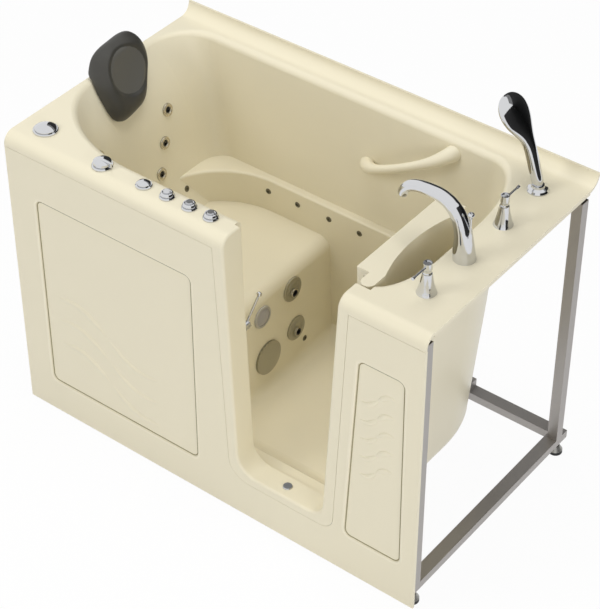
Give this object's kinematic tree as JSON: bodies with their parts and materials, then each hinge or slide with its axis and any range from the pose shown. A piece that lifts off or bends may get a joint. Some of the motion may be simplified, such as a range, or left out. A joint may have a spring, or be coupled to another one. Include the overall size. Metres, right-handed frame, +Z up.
{
  "type": "walk-in jetted bathtub",
  "caption": "Deep seated bathtub with an inward opening door, jets, air controls, bath filler, hand shower, head pillow and grab bar on a steel frame",
  "frame": {"origin": "on the floor, under the middle of the tub", "axes": "+X along the tub from the backrest to the taps, +Y from the door to the back wall, +Z up"},
  "size_m": [1.346, 0.762, 1.1778],
  "materials": {
    "acrylic": "glossy cream acrylic",
    "frame_steel": "satin stainless tube",
    "zinc": "zinc plated",
    "stainless": "satin stainless",
    "lock_nut": "white moulded nut",
    "chrome": "polished chrome",
    "brass": "rough cast brass",
    "jet_trim": "moulded jet trim",
    "air_trim": "moulded trim",
    "lens": "frosted lens",
    "pillow": "soft dark foam skin",
    "pipe": "white pipe",
    "black_plastic": "black moulded plastic",
    "grey_plastic": "grey moulded plastic",
    "motor": "dark painted motor",
    "seal": "soft grey seal",
    "foot": "black rubber foot"
  },
  "bodies": {
    "tub": {"tub_shell": "acrylic", "front_panel": "acrylic", "corner_legs": "frame_steel", "bottom_rails": "frame_steel", "cross_rails": "frame_steel", "seat_posts": "frame_steel", "top_rails": "frame_steel", "foot_lock_nuts": "zinc", "hinge_leaves": "stainless", "latch_boss": "chrome", "control_bezels": "chrome", "deck_lock_nuts": "lock_nut", "valve_bases": "chrome", "valve_bodies": "brass", "spout": "chrome", "mixing_pipe": "brass", "shower_holder": "chrome", "jet_bodies": "jet_trim", "air_jets": "air_trim", "suction_cover": "jet_trim", "light_ring": "air_trim", "light_lens": "lens", "head_pillow": "pillow", "grab_bar": "acrylic", "threshold_plug": "chrome", "floor_drain": "chrome", "overflow_plate": "chrome", "waste_pipe": "pipe", "pump_wet_end": "black_plastic", "pump_motor": "motor", "air_blower": "black_plastic", "control_box": "grey_plastic", "jet_pipes": "pipe"},
    "door": {"door_panel": "acrylic", "door_seal": "seal", "hinge_pins": "stainless"},
    "latch_lever": {"latch_lever": "chrome"},
    "hot_handle": {"hot_handle": "chrome"},
    "cold_handle": {"cold_handle": "chrome"},
    "diverter_knob": {"diverter_knob": "chrome"},
    "hand_shower": {"hand_shower": "chrome"},
    "pump_button": {"pump_button": "chrome"},
    "light_button": {"light_button": "chrome"},
    "pointer_knob": {"pointer_knob": "chrome"},
    "drain_stopper": {"drain_stopper": "chrome"},
    "air_knob_1": {"air_knob_1": "chrome"},
    "air_knob_2": {"air_knob_2": "chrome"},
    "air_knob_3": {"air_knob_3": "chrome"},
    "upper_calf_jet_face": {"upper_calf_jet_face": "jet_trim"},
    "lower_calf_jet_face": {"lower_calf_jet_face": "jet_trim"},
    "back_jet_nozzle_1": {"back_jet_nozzle_1": "chrome"},
    "back_jet_nozzle_2": {"back_jet_nozzle_2": "chrome"},
    "back_jet_nozzle_3": {"back_jet_nozzle_3": "chrome"},
    "back_jet_nozzle_4": {"back_jet_nozzle_4": "chrome"},
    "back_jet_nozzle_5": {"back_jet_nozzle_5": "chrome"},
    "back_jet_nozzle_6": {"back_jet_nozzle_6": "chrome"},
    "foot_1": {"foot_1": "foot"},
    "foot_2": {"foot_2": "foot"},
    "foot_3": {"foot_3": "foot"},
    "foot_4": {"foot_4": "foot"}
  },
  "joints": [
    {"name": "door_swing", "type": "hinge", "parent": "tub", "child": "door", "pos_m": [0.439, -0.287, 0.142], "axis": [0, 0, 1], "range_deg": [0, 90]},
    {"name": "latch_turn", "type": "hinge", "parent": "tub", "child": "latch_lever", "pos_m": [0.026, -0.268, 0.547], "axis": [0, 1, 0], "range_deg": [0, 90]},
    {"name": "hot_handle_turn", "type": "hinge", "parent": "tub", "child": "hot_handle", "pos_m": [0.572, -0.23653, 0.988], "axis": [0, 0, 1], "range_deg": [-90, 0]},
    {"name": "cold_handle_turn", "type": "hinge", "parent": "tub", "child": "cold_handle", "pos_m": [0.572, 0.0935, 0.988], "axis": [0, 0, 1], "range_deg": [0, 90]},
    {"name": "diverter_lift", "type": "slide", "parent": "tub", "child": "diverter_knob", "axis": [0, 0, 1], "range_m": [0, 0.012]},
    {"name": "hand_shower_lift", "type": "slide", "parent": "tub", "child": "hand_shower", "axis": [0, 0, 1], "range_m": [0, 0.15]},
    {"name": "pump_button_press", "type": "slide", "parent": "tub", "child": "pump_button", "axis": [0, 0, -1], "range_m": [0, 0.004], "stiffness_N_per_m": 500, "springref_m": -0.005},
    {"name": "light_button_press", "type": "slide", "parent": "tub", "child": "light_button", "axis": [0, 0, -1], "range_m": [0, 0.004], "stiffness_N_per_m": 500, "springref_m": -0.005},
    {"name": "pointer_turn", "type": "hinge", "parent": "tub", "child": "pointer_knob", "pos_m": [-0.374, -0.327, 0.93], "axis": [0, 0, 1], "range_deg": [-90, 90]},
    {"name": "air_knob_1_turn", "type": "hinge", "parent": "tub", "child": "air_knob_1", "pos_m": [-0.157, -0.327, 0.93], "axis": [0, 0, 1], "range_deg": [0, 180]},
    {"name": "air_knob_2_turn", "type": "hinge", "parent": "tub", "child": "air_knob_2", "pos_m": [-0.084, -0.327, 0.93], "axis": [0, 0, 1], "range_deg": [0, 180]},
    {"name": "air_knob_3_turn", "type": "hinge", "parent": "tub", "child": "air_knob_3", "pos_m": [-0.015, -0.327, 0.93], "axis": [0, 0, 1], "range_deg": [0, 180]},
    {"name": "upper_calf_jet_turn", "type": "hinge", "parent": "tub", "child": "upper_calf_jet_face", "pos_m": [-0.09563, 0.103, 0.378], "axis": [0.9994, 0, 0.0354], "continuous": true},
    {"name": "lower_calf_jet_turn", "type": "hinge", "parent": "tub", "child": "lower_calf_jet_face", "pos_m": [-0.09046, 0.112, 0.232], "axis": [0.9994, 0, 0.0354], "continuous": true},
    {"name": "back_jet_1_tilt", "type": "hinge", "parent": "tub", "child": "back_jet_nozzle_1", "pos_m": [-0.56581, -0.14281, 0.76418], "axis": [-0.2064, 0.9785, 0], "range_deg": [-15, 15]},
    {"name": "back_jet_2_tilt", "type": "hinge", "parent": "tub", "child": "back_jet_nozzle_2", "pos_m": [-0.56887, 0.142, 0.76399], "axis": [0, 1, 0], "range_deg": [-15, 15]},
    {"name": "back_jet_3_tilt", "type": "hinge", "parent": "tub", "child": "back_jet_nozzle_3", "pos_m": [-0.55192, -0.105, 0.67936], "axis": [0, 1, 0], "range_deg": [-15, 15]},
    {"name": "back_jet_4_tilt", "type": "hinge", "parent": "tub", "child": "back_jet_nozzle_4", "pos_m": [-0.55192, 0.105, 0.67936], "axis": [0, 1, 0], "range_deg": [-15, 15]},
    {"name": "back_jet_5_tilt", "type": "hinge", "parent": "tub", "child": "back_jet_nozzle_5", "pos_m": [-0.53803, -0.07, 0.59723], "axis": [0, 1, 0], "range_deg": [-15, 15]},
    {"name": "back_jet_6_tilt", "type": "hinge", "parent": "tub", "child": "back_jet_nozzle_6", "pos_m": [-0.53803, 0.07, 0.59723], "axis": [0, 1, 0], "range_deg": [-15, 15]},
    {"name": "stopper_lift", "type": "slide", "parent": "tub", "child": "drain_stopper", "axis": [0, 0, 1], "range_m": [0, 0.01]},
    {"name": "foot_1_turn", "type": "hinge", "parent": "tub", "child": "foot_1", "pos_m": [-0.649, -0.35, 0], "axis": [0, 0, 1], "continuous": true},
    {"name": "foot_2_turn", "type": "hinge", "parent": "tub", "child": "foot_2", "pos_m": [-0.649, 0.35, 0], "axis": [0, 0, 1], "continuous": true},
    {"name": "foot_3_turn", "type": "hinge", "parent": "tub", "child": "foot_3", "pos_m": [0.649, -0.35, 0], "axis": [0, 0, 1], "continuous": true},
    {"name": "foot_4_turn", "type": "hinge", "parent": "tub", "child": "foot_4", "pos_m": [0.649, 0.35, 0], "axis": [0, 0, 1], "continuous": true}
  ]
}
